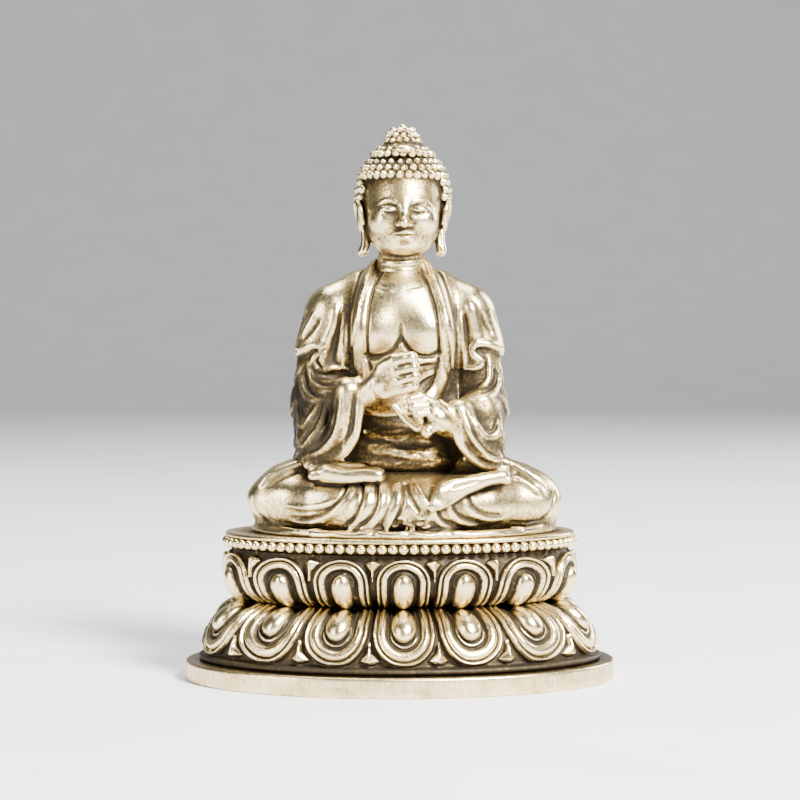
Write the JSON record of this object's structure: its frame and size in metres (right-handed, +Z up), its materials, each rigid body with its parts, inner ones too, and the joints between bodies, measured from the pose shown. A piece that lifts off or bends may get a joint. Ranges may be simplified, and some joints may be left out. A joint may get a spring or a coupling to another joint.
{
  "type": "buddha statue",
  "caption": "Small seated Buddha in antique brass on an oval double lotus throne, robed, legs folded, hands held before the chest.",
  "frame": {"origin": "centre of the foot plate's underside, on the surface that the statue stands on", "axes": "+Z up through the statue, -Y the way the figure faces, +X towards the figure's left hand"},
  "size_m": [0.0504, 0.0354, 0.065],
  "materials": {
    "antique_brass": "antiqued cast brass, dark in the recesses and rubbed bright on the high places",
    "bright_rim_brass": "brushed bright on the edge, antiqued on top",
    "brass_sheet": "satin rolled sheet",
    "screw_steel": "plain turned steel"
  },
  "bodies": {
    "root": {"foot_plate": "bright_rim_brass", "sealing_plate": "brass_sheet", "lower_lotus_tier": "antique_brass", "upper_lotus_tier": "antique_brass", "seat_slab": "antique_brass", "bead_band": "antique_brass", "figure_screw": "screw_steel", "screw_washer": "screw_steel", "crossed_legs": "antique_brass", "torso": "antique_brass", "right_sleeve": "antique_brass", "left_sleeve": "antique_brass", "right_hand": "antique_brass", "left_hand": "antique_brass", "head": "antique_brass", "hair_jewel": "antique_brass"}
  },
  "joints": []
}
